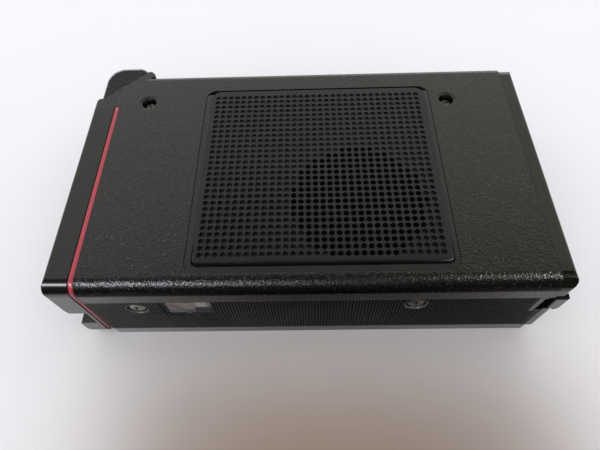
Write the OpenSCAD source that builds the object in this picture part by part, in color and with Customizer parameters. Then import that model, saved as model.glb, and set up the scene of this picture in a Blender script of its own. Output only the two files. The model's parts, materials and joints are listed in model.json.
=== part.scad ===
// Pocket cassette recorder, lying on its front face.
// X runs along the case, Y across it, Z up to the rear (speaker) face.
// The origin is the middle of the face it rests on. Millimetres.

/* [Case] */
// Half the length of the case
half_l = 78.3; // [78:0.1:78.6]
// Width of the case across the side panels
case_w = 90.4; // [90.2:0.1:90.8]
// Height from the rest face to the rear face
case_t = 37; // [36.9:0.1:37.3]
// Radius of the long rear edges
edge_r = 4.5; // [4:0.1:4.8]
// Wall of the plastic shells
wall = 2; // [1.8:0.1:2]
// Height where the rear cover meets the side panels
split_z = 27.7; // [27.5:0.1:27.9]
// Height of the front cover
front_h = 4; // [3.8:0.1:4]
// Spacing of the fine ribs on the side panels
rib_p = 0.985; // [0.95:0.005:1.1]
// Height of the fine ribs
rib_h = 0.4; // [0.3:0.05:0.5]

/* [Speaker grille] */
// Spacing of the grille holes
hole_p = 2.355; // [2.345:0.005:2.37]
// Radius of the grille holes
hole_r = 0.9; // [0.8:0.02:0.96]
// Radius of the field of open holes over the speaker
open_r = 21.7; // [20:0.1:22.3]
// Height of the raised panel over the rear face
panel_up = 0.5; // [0.3:0.1:0.7]

/* [Tape drive] */
// Distance between the two reel spindles
reel_gap = 42.5; // [42.4:0.1:42.6]
// Radius of the capstan shaft
capstan_r = 1.2; // [1.1:0.05:1.2]
// Radius of the pinch roller
roller_r = 5.2; // [5:0.05:5.2]
// Radius of the flywheel
fly_r = 14.5; // [14.5:0.1:14.6]
// Travel of the keys
key_travel = 3; // [2.5:0.1:3]
// Width of one key
key_w = 14.6; // [14:0.1:14.6]
// Radial running clearance of shafts
run_c = 0.05; // [0.03:0.01:0.08]

/* [Controls] */
// Radius of the thumbwheel dials
dial_r = 9.2; // [9:0.1:9.2]
// Number of grip notches on a dial
dial_n = 48; // [36:1:60]
// Radius of the hole in a jack socket
jack_r = 1.8; // [1.75:0.05:1.85]

/* [Hidden] */
$fn = 48;
hw = case_w / 2;
far_r = edge_r - 1.5;
// grille field: first hole, columns and rows
gx0 = -32.0; gy0 = 31.8; gcols = 32; grows = 29;
// grille piece and its raised panel: left, near, right, far
gp = [-36.7, -39.85, 45.85, 35.85];
pp = [-34.3, -37.25, 43.9, 35.25];
// speaker centre
spk = [17.61, -14.58];
// centre of the field of open holes
fld = [16.98, -15.06];
// screws in the rear face, and in the near side (X and Z)
rear_scr = [[-58.0, 30.35], [51.87, 28.95]];
side_scr = [[-53.9, 22.2], [34.0, 23.3]];
// corner microphone: point on its seat and the direction of the seat
mic_p = [-65.5, 38.3]; mic_a = 44;
// stripe: left and right edge, far end
st0 = -70.5; st1 = -68.75; st_far = 28.6;
// tape drive positions
tape_x = -4; reel_y = -12;
takeup = [tape_x - reel_gap / 2, reel_y];
supply = [tape_x + reel_gap / 2, reel_y];
arm_l = 13.5; arm_a = 13.82;
arm_p = [-51, 25.27];
cap_p = [arm_p[0] + arm_l * cos(arm_a), 15.6];
mot_p = [12, 24.5];
// friction wheels between flywheel hub and take-up wheel
hub_r = 7; wheel_r = 9;
reach = norm(takeup - cap_p);
idle_r = (reach - hub_r - wheel_r) / 2 - 0.18;
idle_p = cap_p + (takeup - cap_p) * ((hub_r + 0.18 + idle_r) / reach);
// keys
key_x0 = -42.3; key_dx = 15.4; key_z = 10;
// left end controls
dial_x = -66.3; vol_y = -8; lev_y = 14;
jacks = [-21.6, -29.8]; jack_z = 14.8;
// door hinge (Y, Z) and lid hinge (X, Z)
hinge = [-41.6, 2.2]; lid = [77.4, 6];
// meter window: left, right, bottom, top
win = [-46.2, -30.2, 16, 27.3];
needle_p = [-38.2, 17.3];

// ---- helpers: a flat shape pulled along X, Y or Z ----
module yz(x0, x1) { translate([x0, 0, 0]) rotate([90, 0, 90]) linear_extrude(x1 - x0) children(); }
module xz(y0, y1) { translate([0, y1, 0]) rotate([90, 0, 0]) linear_extrude(y1 - y0) children(); }
module xy(z0, z1) { translate([0, 0, z0]) linear_extrude(z1 - z0) children(); }
module box(x0, x1, y0, y1, z0, z1) { translate([x0, y0, z0]) cube([x1 - x0, y1 - y0, z1 - z0]); }
module rect(x0, y0, x1, y1) { translate([x0, y0]) square([x1 - x0, y1 - y0]); }
module rrect(x0, y0, x1, y1, r) {
  rect(x0 + r, y0, x1 - r, y1);
  rect(x0, y0 + r, x1, y1 - r);
  for (x = [x0 + r, x1 - r], y = [y0 + r, y1 - r]) translate([x, y]) circle(r);
}
module rodz(p, r, z0, z1) { translate([p[0], p[1], z0]) cylinder(r = r, h = z1 - z0); }
module rody(x, z, r, y0, y1) { translate([x, y1, z]) rotate([90, 0, 0]) cylinder(r = r, h = y1 - y0); }
module rodx(y, z, r, x0, x1) { translate([x0, y, z]) rotate([0, 90, 0]) cylinder(r = r, h = x1 - x0); }
module turned(p, pts) { translate([p[0], p[1], 0]) rotate_extrude() polygon(pts); }
module mic_frame() { translate([mic_p[0], mic_p[1], 0]) rotate(mic_a) children(); }
// case cross-section in Y and Z, i inside the outer skin; rf rounds the far edge
module section(i = 0, rf = edge_r) {
  rect(-hw + i, -1, 0, case_t - edge_r);
  rect(-1, -1, hw - i, case_t - rf);
  rect(-hw + edge_r, -1, hw - rf, case_t - i);
  translate([-hw + edge_r, case_t - edge_r]) circle(edge_r - i);
  translate([hw - rf, case_t - rf]) circle(rf - i);
}
// end profile in X and Z with a rounded top corner on each side
module end_round(x0, x1, z0, z1, r) {
  rect(x0, z0, x1, z1 - r);
  rect(x0 + r, z0, x1 - r, z1);
  for (x = [x0 + r, x1 - r]) translate([x, z1 - r]) circle(r);
}
// ribbed side panel outline in X and Y; s is the side it faces
function ribs(x0, x1, s) = let (n = floor((x1 - x0 - 0.6) / rib_p), b = s * (hw - wall), y0 = s * (hw - rib_h), y1 = s * hw)
  concat([[x0, b], [x0, y0]],
    [for (i = [0 : n - 1]) each [[x0 + 0.4 + i * rib_p, y0], [x0 + 0.4 + i * rib_p, y1],
                                 [x0 + 0.4 + (i + 0.55) * rib_p, y1], [x0 + 0.4 + (i + 0.55) * rib_p, y0]]],
    [[x1, y0], [x1, b]]);
// wire coil along Z: rings of a k-sided wire section
module coil(r, w, h, turns, k = 6, m = 16) {
  n = turns * m;
  pts = [for (i = [0 : n]) let (a = 360 * i / m, z = w + (h - 2 * w) * i / n)
    for (j = [0 : k - 1]) let (b = 360 * j / k)
      [(r + w * cos(b)) * cos(a), (r + w * cos(b)) * sin(a), z + w * sin(b)]];
  side = [for (i = [0 : n - 1], j = [0 : k - 1]) let (a = i * k + j, b = i * k + (j + 1) % k)
    each [[a, b, b + k], [a, b + k, a + k]]];
  caps = [[for (j = [k - 1 : -1 : 0]) j], [for (j = [0 : k - 1]) n * k + j]];
  polyhedron(points = pts, faces = concat(side, caps), convexity = 8);
}

// ---- case ----
module rear_cover() color([0.16, 0.16, 0.15]) difference() {
  union() {
    difference() {
      intersection() {
        yz(-half_l, 73.7) difference() { section(0, far_r); rect(-60, -5, 60, split_z); }
        xy(20, 45) polygon([[74, -46], [74, 46], [-57.53, 46], [mic_p[0], mic_p[1]], [-73.56, 30.52], [-76.2, 33.2],
          [-77.3, 32.9], [-half_l, 31.5], [-half_l, st_far + 0.1], [st0, st_far + 0.1], [st0, -46]]);
        xz(-50, 50) end_round(-half_l, 80, 20, case_t, 0.9);
      }
      intersection() {
        yz(-80, 75) section(wall);
        xy(20, 45) polygon([[75, -46], [75, 46], [-54.6, 46], [-72.3, 28.95], [-72.3, -46]]);
      }
      xy(30, 40) rrect(gp[0], gp[1], gp[2], gp[3], 4);
      // groove for the stripe
      yz(st0 - 0.1, st1 + 0.05) intersection() {
        difference() { section(-0.5); section(0.85); }
        rect(-60, 4, st_far + 0.1, 40);
      }
    }
    for (p = rear_scr) rodz(p, 4.2, 22, case_t - 1);
  }
  for (p = rear_scr) {
    rodz(p, 2.65, 33.5, 40);
    rodz(p, 3.4, case_t - 0.22, 40);
    rodz(p, 1.4, 20, 34);
  }
}
module top_trim() color([0.13, 0.13, 0.13]) difference() {
  intersection() {
    yz(-half_l, st0 - 0.1) difference() { section(); rect(-60, -5, 60, 28.9); }
    xy(20, 45) intersection() { rrect(-half_l, -hw, 0, 60, 0.9); rect(-90, -60, 0, st_far); }
    xz(-50, 50) end_round(-half_l, 0, 20, case_t, 0.9);
  }
  intersection() {
    yz(-half_l + wall, 0) section(wall);
    box(-90, 0, -60, st_far - wall, 0, 60);
  }
}
module red_stripe() color([0.78, 0.2, 0.26]) yz(st0, st1) intersection() {
  difference() { section(); section(0.8); }
  rect(-60, front_h + 0.3, st_far, 60);
}
module speaker_grille() color([0.1, 0.1, 0.1]) difference() {
  union() {
    xy(case_t - 1.6, case_t - 0.1) rrect(gp[0] + 0.12, gp[1] + 0.12, gp[2] - 0.12, gp[3] - 0.12, 3.9);
    xy(case_t - 0.6, case_t + panel_up) rrect(pp[0], pp[1], pp[2], pp[3], 2.2);
    xy(case_t - 3.4, case_t - 0.6) difference() {
      rrect(gp[0] + 0.12, gp[1] + 0.12, gp[2] - 0.12, gp[3] - 0.12, 3.9);
      rrect(gp[0] + 1.6, gp[1] + 1.6, gp[2] - 1.6, gp[3] - 1.6, 2.5);
    }
    xy(case_t - 3.4, case_t - 2.1) difference() {
      rrect(gp[0] - 0.9, gp[1] - 0.6, gp[2] + 0.9, gp[3] + 0.9, 4.5);
      rrect(gp[0] + 1.6, gp[1] + 1.6, gp[2] - 1.6, gp[3] - 1.6, 2.5);
    }
  }
  for (i = [0 : gcols - 1], j = [0 : grows - 1])
    if (norm([gx0 + i * hole_p - fld[0], gy0 - j * hole_p - fld[1]]) < open_r)
      rodz([gx0 + i * hole_p, gy0 - j * hole_p], hole_r, case_t - 3, case_t + 2);
}
module near_side_panel() color([0.2, 0.2, 0.2]) difference() {
  union() {
    xy(front_h + 0.1, split_z - 0.1) polygon(ribs(st1 + 0.1, 74.4, -1));
    box(73.3, 74.4, -hw, -hw + 1, front_h + 0.1, split_z - 0.1);
  }
  box(win[0], win[1], -50, -40, win[2], win[3]);
  for (s = side_scr) {
    rody(s[0], s[1], 3.9, -50, -hw + 1);
    rody(s[0], s[1], 1.4, -50, -40);
  }
  box(70.4, 80, -50, -40, 17.2, 30);
}
module far_side_panel() color([0.2, 0.2, 0.2]) difference() {
  xy(front_h + 0.1, split_z - 0.1) polygon(ribs(-57, 74.4, 1));
  box(key_x0 - key_w / 2 - 0.6, key_x0 + 5 * key_dx + key_w / 2 + 0.6, 40, 50, 5, 15);
}
module front_cover() color([0.26, 0.26, 0.26]) difference() {
  union() {
    difference() {
      xy(0, front_h) rrect(-69, -hw, 73.7, hw, 2);
      xy(2, front_h + 1) rrect(-67.2, -hw + 1.8, 71.9, hw - 1.8, 1);
    }
    for (x = [-60.6, 50.3]) box(x, x + 2.3, -hw + 0.5, -39.8, 1, front_h);
    xy(0, 3.3) rrect(70, -hw, 75.2, -hw + 8, 1);
  }
  box(-58.2, 50.2, hinge[0] - 1.75, 34.3, -1, front_h + 1);
  rodx(hinge[0], hinge[1], 0.75, -61, 53);
}
module top_end_frame() color([0.2, 0.2, 0.2]) difference() {
  union() {
    intersection() {
      xz(-hw, 26.9) polygon([[-68.9, 28.8], [-half_l, 28.8], [-half_l, 23.3], [-77, 19.2], [-71.5, 19.2], [-71.5, 9.8],
        [-77.2, 9.8], [-77.2, 4.5], [-76.4, 3.4], [-69.3, 3.4], [-69.3, 4.2], [-68.9, 4.2]]);
      xy(0, 40) rrect(-half_l, -hw, 0, 60, 0.9);
    }
    xz(26, hw) polygon([[-68.9, 16.2], [-71.5, 16.2], [-71.5, 9.8], [-77.2, 9.8], [-77.2, 4.5], [-76.4, 3.4], [-69.3, 3.4],
      [-69.3, 4.2], [-68.9, 4.2]]);
    box(-70, -57.2, hw - wall, hw, 4.2, 16.2);
    box(-70, -63.5, 27.5, hw - 1, 15, 16.2);
  }
  box(-76.6, -60, -43.4, 25.2, 20.8, 27.2);
  box(-70.1, -60, -43.4, 43.3, 5.8, 15);
  box(-70.1, -60, -43.4, 25.2, 14, 27.2);
  box(-75.7, -60, -43.4, 43.3, 5.8, 8.2);
  // the rear cover lies over it, and the stripe in its near face
  box(st0 - 0.05, -60, -50, 50, split_z - 0.1, 40);
  box(st0 - 0.05, -60, -hw - 1, -hw + 0.85, 4, 40);
  for (y = [vol_y, lev_y]) box(-75, -65, y - 8.7, y + 8.7, 12.6, 16.6);
  for (y = jacks) rodx(y, jack_z, 3.05, -75, -65);
}
module end_cap() color([0.18, 0.18, 0.18]) {
  difference() {
    union() {
      difference() {
        intersection() {
          yz(73.8, half_l) difference() { section(); rect(-60, -5, 60, 3.6); }
          xz(-50, 50) end_round(0, half_l, 0, case_t, 1);
          xy(-1, 45) rrect(60, -hw, half_l, hw, 2);
          xz(-50, 50) polygon([[73, 3], [half_l - 1.3, 3], [half_l + 0.2, 5], [half_l + 0.2, 40], [73, 40]]);
        }
        difference() {
          yz(73, half_l - 1.8) section(wall);
          box(70, 80, -50, 50, -5, 5.2);
        }
      }
      // walls of the pocket that the strap goes into
      box(69.2, half_l - 0.2, -hw + 2.1, -36.8, 16.2, 30);
    }
    box(75, 80, -30, 32.6, 4.3, 34.6);
    rody(lid[0], lid[1], 0.6, -31.6, 34.2);
    // the ends of the side panels
    box(70, 74.5, -50, -hw + 2.1, front_h, split_z);
    box(70, 74.5, hw - 2.1, 50, front_h, split_z);
    // strap pocket with its way out behind the bar, and the set-back below it
    xz(-50, -42.5) polygon([[71.2, 17.2], [74.4, 17.2], [74.4, 19], [80, 19], [80, 29], [74.8, 29], [74.2, 27], [72.8, 25.6]]);
    xz(-43, -38) polygon([[71.2, 17.2], [76.4, 17.2], [76.4, 29], [74.8, 29], [74.2, 27], [72.8, 25.6]]);
    box(76.3, 80, -43, -38, 21, 29);
    box(half_l - 0.7, 80, -50, -42.5, 0, 19.1);
    rodx(38.4, 12, 3.2, 70, 80);
  }
  // smooth frame of the pocket in the near face
  xz(-hw, -hw + 2.2) polygon([[70.5, 17.3], [74.4, 17.3], [74.4, 17.75], [71.6, 17.75], [72.1, 20], [72.15, 26.4], [73.3, 27.6], [70.5, 27.6]]);
}
module strap_bar() color([0.35, 0.35, 0.35]) {
  intersection() {
    xy(17, 26.7) rrect(76, -hw, half_l + 1.3, -hw + 2.6, 0.4);
    xz(-50, -40) polygon([[75, 19.1], [half_l - 0.6, 19.1], [half_l - 0.6, 17.9], [half_l, 17.9], [half_l + 0.8, 18.8], [half_l + 1.3, 20.3], [half_l + 1.3, 27], [75, 27]]);
  }
  xy(26.6, 29) rrect(76.5, -hw + 1.4, half_l - 0.5, -hw + 2.6, 0.4);
}
module screw_head(r, h) {
  difference() {
    intersection() {
      cylinder(r = r, h = h);
      translate([0, 0, h - 2.4 * r]) sphere(r = 2.4 * r);
    }
    for (a = [0, 90]) rotate(a) translate([-r * 0.62, -0.35, h * 0.35]) cube([r * 1.24, 0.7, h]);
  }
}
module rear_screws() color([0.5, 0.5, 0.5]) for (p = rear_scr) {
  translate([p[0], p[1], 33.5]) screw_head(1.95, 1.6);
  rodz(p, 1.1, 18.6, 33.6);
}
module side_screws() color([0.6, 0.6, 0.57]) for (s = side_scr) {
  translate([s[0], -hw + 1, s[1]]) rotate([90, 0, 0]) screw_head(2.45, 0.9);
  rody(s[0], s[1], 1.1, -hw + 0.95, -38.2);
}
module battery_box() color([0.15, 0.15, 0.15]) difference() {
  box(56.4, 73.5, -29.4, 32.2, 4.2, 34.9);
  box(57.4, 80, -28.2, 31, 5, 34.1);
}
module battery_contacts() color([0.8, 0.78, 0.7]) {
  for (z = [12.2, 26.9]) {
    box(59.2, 71.8, -28.2, -27.8, z - 5.5, z + 5.5);
    box(59.2, 71.8, 30.6, 31, z - 5.5, z + 5.5);
    translate([65.5, 30.45, z]) rotate([90, 0, 0]) coil(3.6, 0.4, 5, 4, 6, 14);
    rody(65.5, z, 2, -27.9, -27);
  }
}
module battery_lid() color([0.18, 0.18, 0.18]) difference() {
  union() {
    box(half_l - 1.6, half_l - 0.1, -29.7, 32.3, lid[1], 34.3);
    rody(lid[0], lid[1], 0.95, -29.7, 32.3);
    // finger grip ribs near the free edge
    for (z = [28.5, 30, 31.5]) box(half_l - 0.2, half_l, -8, 10, z, z + 0.7);
  }
  rody(lid[0], lid[1], 0.6 + run_c, -31, 34);
}
module hinge_pins() color("silver") {
  rody(lid[0], lid[1], 0.6, -31.4, 34);
  rodx(hinge[0], hinge[1], 0.75, -60.5, -52.2);
  rodx(hinge[0], hinge[1], 0.75, 44.2, 52.5);
}

// ---- cassette side ----
module cassette_door() color([0.22, 0.22, 0.22]) difference() {
  union() {
    xy(0.5, 2.3) rrect(-57.9, hinge[0] + 0.2, 49.9, 34, 1.6);
    xy(2.2, 3.2) difference() { rrect(-42.5, -31.5, 34.5, 7.5, 3); rrect(-41.3, -30.3, 33.3, 6.3, 2); }
    for (x = [-57.9, 44]) {
      rodx(hinge[0], hinge[1], 1.5, x, x + 5.9);
      box(x, x + 5.9, hinge[0], hinge[0] + 3, 0.7, 2.3);
    }
  }
  xy(-1, 5) rrect(-38, -27, 30, 3, 2);
  rodx(hinge[0], hinge[1], 0.75 + run_c, -60, 53);
  // finger notch at the free edge
  translate([-4, 37, -1]) cylinder(r = 9, h = 5);
}
module door_window() color([0.35, 0.37, 0.4, 0.6]) {
  xy(0.6, 2.35) rrect(-37.95, -26.95, 29.95, 2.95, 1.95);
  xy(2.3, 3.1) rrect(-40, -29, 32, 5, 2);
}
module cassette_well() color([0.14, 0.14, 0.14]) difference() {
  xy(4.2, 16.5) difference() {
    rect(-56.5, -42.9, 48.5, 23.6);
    rect(-55.4, -41.8, 47.4, 30);
  }
  // room for the meter
  box(win[0] - 1.3, win[1] + 1.1, -50, -35.7, 14.7, 20);
}
module mechanism_chassis() color([0.7, 0.7, 0.72]) difference() {
  union() {
    xy(16.5, 17.5) difference() {
      union() {
        rect(-57.5, -42.6, 49.5, 36.4);
        rect(-63, -40.5, -57, -33.5);
        rect(-63, 26.5, -57, 36.4);
        rect(49, -40.5, 55.5, -33.5);
        rect(49, 25, 55.5, 37.4);
      }
      rect(win[0] - 2.3, -45, win[1] + 1.7, -34.3);
    }
    for (p = rear_scr) rodz(p, 3.6, 17.4, 22);
    for (s = side_scr) box(s[0] - 3.6, s[0] + 3.6, -42.6, -38, 17.4, 26.4);
    for (p = [takeup, supply]) rodz(p, 3.2, 17.4, 18.1);
    rodz(idle_p, 1, 17.4, 20.3);
    rodz(idle_p, 2.2, 17.4, 18);
    rodz(arm_p, 1.4, 12.2, 16.6);
    for (x = [-20, 14]) { rodz([x, 26.4], 1.2, 14, 16.6); rodz([x, 26.4], 2.3, 13.9, 14.7); }
    for (p = [[20.4, 24.5], [12, 33], [12, 16]]) rodz(p, 1.8, 17.4, 24.5);
    for (p = [[-52, -30], [-12, -30], [-54.5, 8]]) rodz(p, 1.6, 17.4, 26.5);
    for (p = [[-60.4, -36.8], [-60.4, 31.5], [53.2, -36.8], [53.2, 34.8]]) rodz(p, 2, 2, 16.6);
  }
  rodz(cap_p, 3.2, 10, 20);
  for (p = [takeup, supply]) rodz(p, 1 + run_c, 10, 20);
  for (p = rear_scr) rodz(p, 1.1, 18.4, 30);
  for (s = side_scr) rody(s[0], s[1], 1.1, -50, -38.1);
}
module spindle(p, top) {
  turned(p, [[0, 5.4], [1.2, 5.4], [2.6, 7], [2.6, 13], [4.6, 13], [4.6, 14], [12, 14], [12, 15.6], [2, 15.6], [2, 16.2],
    [1, 16.2], [1, top - 1.3], [0, top - 1.3]]);
  for (a = [0 : 60 : 300]) translate([p[0], p[1], 0]) rotate(a) box(2.3, 3.9, -0.55, 0.55, 7.6, 13.2);
}
module takeup_spindle() color([0.9, 0.9, 0.88]) {
  spindle(takeup, 20);
  turned(takeup, [[0, 18.6], [wheel_r, 18.6], [wheel_r, 19.9], [3, 19.9], [3, 20.3], [0, 20.3]]);
}
module supply_spindle() color([0.9, 0.9, 0.88]) {
  spindle(supply, 20);
  turned(supply, [[0, 18.6], [4, 18.6], [4, 19.4], [0, 19.4]]);
}
module capstan() color("silver") turned(cap_p, [[0, 5], [capstan_r - 0.3, 5], [capstan_r, 5.4], [capstan_r, 24.9], [0, 24.9]]);
module capstan_bearing() color([0.72, 0.55, 0.25]) turned(cap_p, [[capstan_r + run_c, 15.3], [3.2, 15.3], [3.2, 17.5], [4.6, 17.5],
  [4.6, 18.2], [capstan_r + run_c, 18.2]]);
module flywheel() color([0.62, 0.62, 0.6]) turned(cap_p, [[capstan_r, 18.6], [hub_r, 18.6], [hub_r, 19.9], [6, 19.9], [6, 20.5],
  [fly_r, 20.5], [fly_r, 21.6], [13.8, 22.1], [13.8, 22.9], [fly_r, 23.4], [fly_r, 24.5], [12, 24.5], [11.5, 23.6], [5, 23.6],
  [4.5, 24.5], [capstan_r, 24.5]]);
module idler_wheel() color([0.12, 0.12, 0.12]) turned(idle_p, [[1 + run_c, 18.2], [2.4, 18.2], [2.4, 18.6], [idle_r, 18.6], [idle_r, 19.9],
  [1 + run_c, 19.9]]);
module motor_pulley() color([0.75, 0.65, 0.35]) turned(mot_p, [[0, 20.6], [0.75, 20.6], [0.75, 20.9], [3.6, 20.9], [3.6, 21.5], [2.8, 22],
  [2.8, 23], [3.6, 23.5], [3.6, 24], [0.75, 24], [0.75, 26], [0, 26]]);
module drive_motor() color([0.75, 0.75, 0.77]) turned(mot_p, [[0.75 + run_c, 24.5], [10.5, 24.5], [10.5, 32.6], [9.7, 33.4], [3, 33.4],
  [3, 33.9], [0, 33.9], [0, 26.4], [0.75 + run_c, 26.4]]);
module drive_belt() color([0.08, 0.08, 0.08]) xy(22.05, 22.95) difference() {
  hull() { translate(cap_p) circle(14.9, $fn = 72); translate(mot_p) circle(3.9, $fn = 32); }
  hull() { translate(cap_p) circle(14.05, $fn = 72); translate(mot_p) circle(3.05, $fn = 32); }
}
module head_slide() color([0.78, 0.78, 0.8]) xy(15.2, 16.2) difference() {
  rrect(-32, 23.8, 25.5, 36.2, 1.5);
  for (x = [-20, 14]) { rect(x - 1.45, 26.4, x + 1.45, 32.8); for (y = [26.4, 32.8]) translate([x, y]) circle(1.45); }
}
module record_head() color([0.82, 0.82, 0.84]) difference() {
  intersection() {
    box(tape_x - 6, tape_x + 6, 24, 32.5, 5.2, 15.2);
    translate([tape_x, 33, 0]) cylinder(r = 8.4, h = 20);
  }
  // gap line of the two tracks
  box(tape_x - 0.15, tape_x + 0.15, 24, 24.9, 6, 9);
}
module erase_head() color([0.6, 0.6, 0.62]) intersection() {
  box(6.2, 11.2, 24, 31, 6, 15.2);
  translate([8.7, 31, 0]) cylinder(r = 6, h = 20);
}
module pinch_arm() color([0.72, 0.72, 0.74]) translate([arm_p[0], arm_p[1], 0]) rotate(arm_a) difference() {
  union() {
    cylinder(r = 3, h = 16.2);
    xy(15.2, 16.2) { rect(0, -2.3, arm_l, 2.3); translate([arm_l, 0]) circle(2.3); }
    rodz([arm_l, 0], 0.9, 5.2, 15.6);
    rodz([arm_l, 0], 1.7, 5, 5.5);
  }
  rodz([0, 0], 1.4 + run_c, -1, 20);
  rodz([0, 0], 4, -1, 12.4);
}
module pinch_roller() color([0.1, 0.1, 0.1]) translate([arm_p[0], arm_p[1], 0]) rotate(arm_a) turned([arm_l, 0], [[0.9 + run_c, 5.9], [2, 5.9], [2, 6.2],
  [roller_r, 6.2], [roller_r, 12.6], [2, 12.6], [2, 13], [0.9 + run_c, 13]]);

// ---- keys ----
module key_frame() color([0.65, 0.65, 0.67]) difference() {
  union() {
    box(-53, 45.2, 37, 38, 4.6, 14.8);
    box(-53, -51.2, 36, 38, 14.7, 16.5);
    box(43.4, 45.2, 36, 38, 14.7, 16.5);
  }
  for (k = [0 : 5]) box(key_x0 + k * key_dx - 1.9, key_x0 + k * key_dx + 1.9, 30, 40, key_z - 1.9, key_z + 1.9);
}
module key_springs() color("silver") for (k = [0 : 5])
  translate([key_x0 + k * key_dx, 38.1, key_z]) rotate([-90, 0, 0]) coil(2.65, 0.25, 7.8 - key_travel, 5, 5, 12);
module key(k) {
  x = key_x0 + k * key_dx;
  difference() {
    yz(x - key_w / 2, x + key_w / 2) {
      rect(43, key_z - 4.3, 47.2, key_z + 4.3);
      rect(43, key_z - 3.3, 48.2, key_z + 3.3);
      for (s = [-1, 1]) translate([47.2, key_z + s * 3.3]) circle(1);
    }
    rody(x, key_z, 3.3, 42, 46.6);
  }
  box(x - 1.5, x + 1.5, 36.6, 46.8, key_z - 1.5, key_z + 1.5);
}
module record_key() color([0.7, 0.16, 0.18]) key(0);
module play_key() color([0.25, 0.25, 0.25]) key(1);
module forward_key() color([0.25, 0.25, 0.25]) key(2);
module rewind_key() color([0.25, 0.25, 0.25]) key(3);
module stop_key() color([0.25, 0.25, 0.25]) key(4);
module pause_key() color([0.25, 0.25, 0.25]) key(5);

// ---- electronics ----
module main_board() color([0.25, 0.4, 0.2]) box(-66, -10, -34, 12, 26.5, 27.7);
module board_parts() color([0.2, 0.25, 0.45]) {
  for (p = [[-60, -20], [-52, -20], [-44, -26]]) rodz(p, 3, 27.7, 33.8);
  for (p = [[-58, 2], [-30, -8]]) box(p[0] - 6, p[0] + 6, p[1] - 3, p[1] + 3, 27.7, 30.5);
  for (x = [-50 : 4 : -22]) box(x - 1, x + 1, -19, -13, 27.7, 29.7);
  box(-24, -14, -4, 6, 27.7, 33.6);
}
module control_board() color([0.25, 0.4, 0.2]) {
  box(-69.8, -57.2, -34.2, 26, 11.2, 12.2);
  for (y = [vol_y, lev_y]) { rodz([dial_x, y], 3.6, 12.1, 12.7); rodz([dial_x, y], 1, 12.1, 16.4); }
}
module dial(y) difference() {
  union() {
    xy(13, 16.1) translate([dial_x, y]) polygon([for (i = [0 : dial_n - 1]) each [
      [dial_r * cos(360 * (i - 0.22) / dial_n), dial_r * sin(360 * (i - 0.22) / dial_n)],
      [dial_r * cos(360 * (i + 0.22) / dial_n), dial_r * sin(360 * (i + 0.22) / dial_n)],
      [(dial_r - 0.45) * cos(360 * (i + 0.5) / dial_n), (dial_r - 0.45) * sin(360 * (i + 0.5) / dial_n)]]]);
  }
  rodz([dial_x, y], 1 + run_c, 10, 20);
}
module volume_dial() color([0.3, 0.3, 0.3]) dial(vol_y);
module level_dial() color([0.3, 0.3, 0.3]) dial(lev_y);
module jack_sockets() color([0.12, 0.12, 0.12]) for (y = jacks) difference() {
  union() {
    box(-70, -58.4, y - 3.7, y + 3.7, 12.2, 18);
    rodx(y, jack_z, 3, -72.1, -69.9);
  }
  rodx(y, jack_z, jack_r, -75, -60);
}
module dc_jack() color([0.12, 0.12, 0.12]) difference() {
  union() {
    box(65, 76.4, 34, 42.8, 7.4, 16.6);
    rodx(38.4, 12, 3.1, 76, half_l - 0.3);
    }
  difference() { rodx(38.4, 12, 2.7, 68, 80); rodx(38.4, 12, 1, 60, half_l - 1.2); }
}

// ---- microphone ----
module mic_bezel() color([0.24, 0.24, 0.24]) mic_frame() difference() {
  intersection() {
    xz(0.2, 3.7) rrect(-11, 16.7, 11, case_t - 0.5, 0.7);
    xy(10, 40) rrect(-14, 0.2, 11, 3.7, 1.7);
  }
  xz(-1, 5) rrect(-8.4, 21, 6.8, 33, 2);
}
// plan of the mesh cover: a round case corner, cut by the bezel
module mic_plan(i, n0) intersection() {
  union() {
    rect(-69.6, 20, -50, 51 - i);
    rect(-77.4 + i, 33.3, -50, 43.2);
    translate([-69.6, 43.2]) circle(7.8 - i);
  }
  translate(mic_p) rotate(mic_a) rect(-13, n0, 10.2 - i, 40);
}
module mic_mesh() color([0.05, 0.05, 0.05]) difference() {
  for (k = [[0, 34.6], [0.15, 35.35], [0.52, 35.95], [0.95, 36.3], [1.5, 36.53], [2, 36.6]])
    xy(53.6 - k[1], k[1]) mic_plan(k[0], 3.85);
  xy(17.9, 35.7) mic_plan(0.9, 0);
}
module mic_capsules() color([0.7, 0.7, 0.7]) mic_frame() for (u = [-4.6, 3]) rody(u, 27, 3.2, 0.02, 6.4);

// ---- speaker ----
module speaker_frame() color([0.5, 0.5, 0.5]) difference() {
  turned(spk, [[10, 27.4], [15, 27.4], [22.9, 33], [23.4, 33], [23.4, 34.6], [22.4, 34.6], [22.4, 33.6], [14, 28.4], [10, 28.4]]);
  for (a = [30 : 60 : 330]) translate([spk[0], spk[1], 26]) rotate(a) translate([18.5, 0, 0]) cylinder(r = 3.4, h = 7);
}
module speaker_magnet() color([0.3, 0.3, 0.32]) turned(spk, [[0, 22.2], [14, 22.2], [14, 26.6], [13.4, 27.4], [0, 27.4]]);
module speaker_cone() color([0.06, 0.06, 0.06]) turned(spk, [[0, 31.2], [4, 31], [7, 29.6], [8, 29.4], [21, 33.8], [22.2, 33.9], [22.2, 34.4], [20.6, 34.3],
  [8, 30.1], [7.3, 30.3], [4.2, 31.6], [0, 31.8]]);

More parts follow.
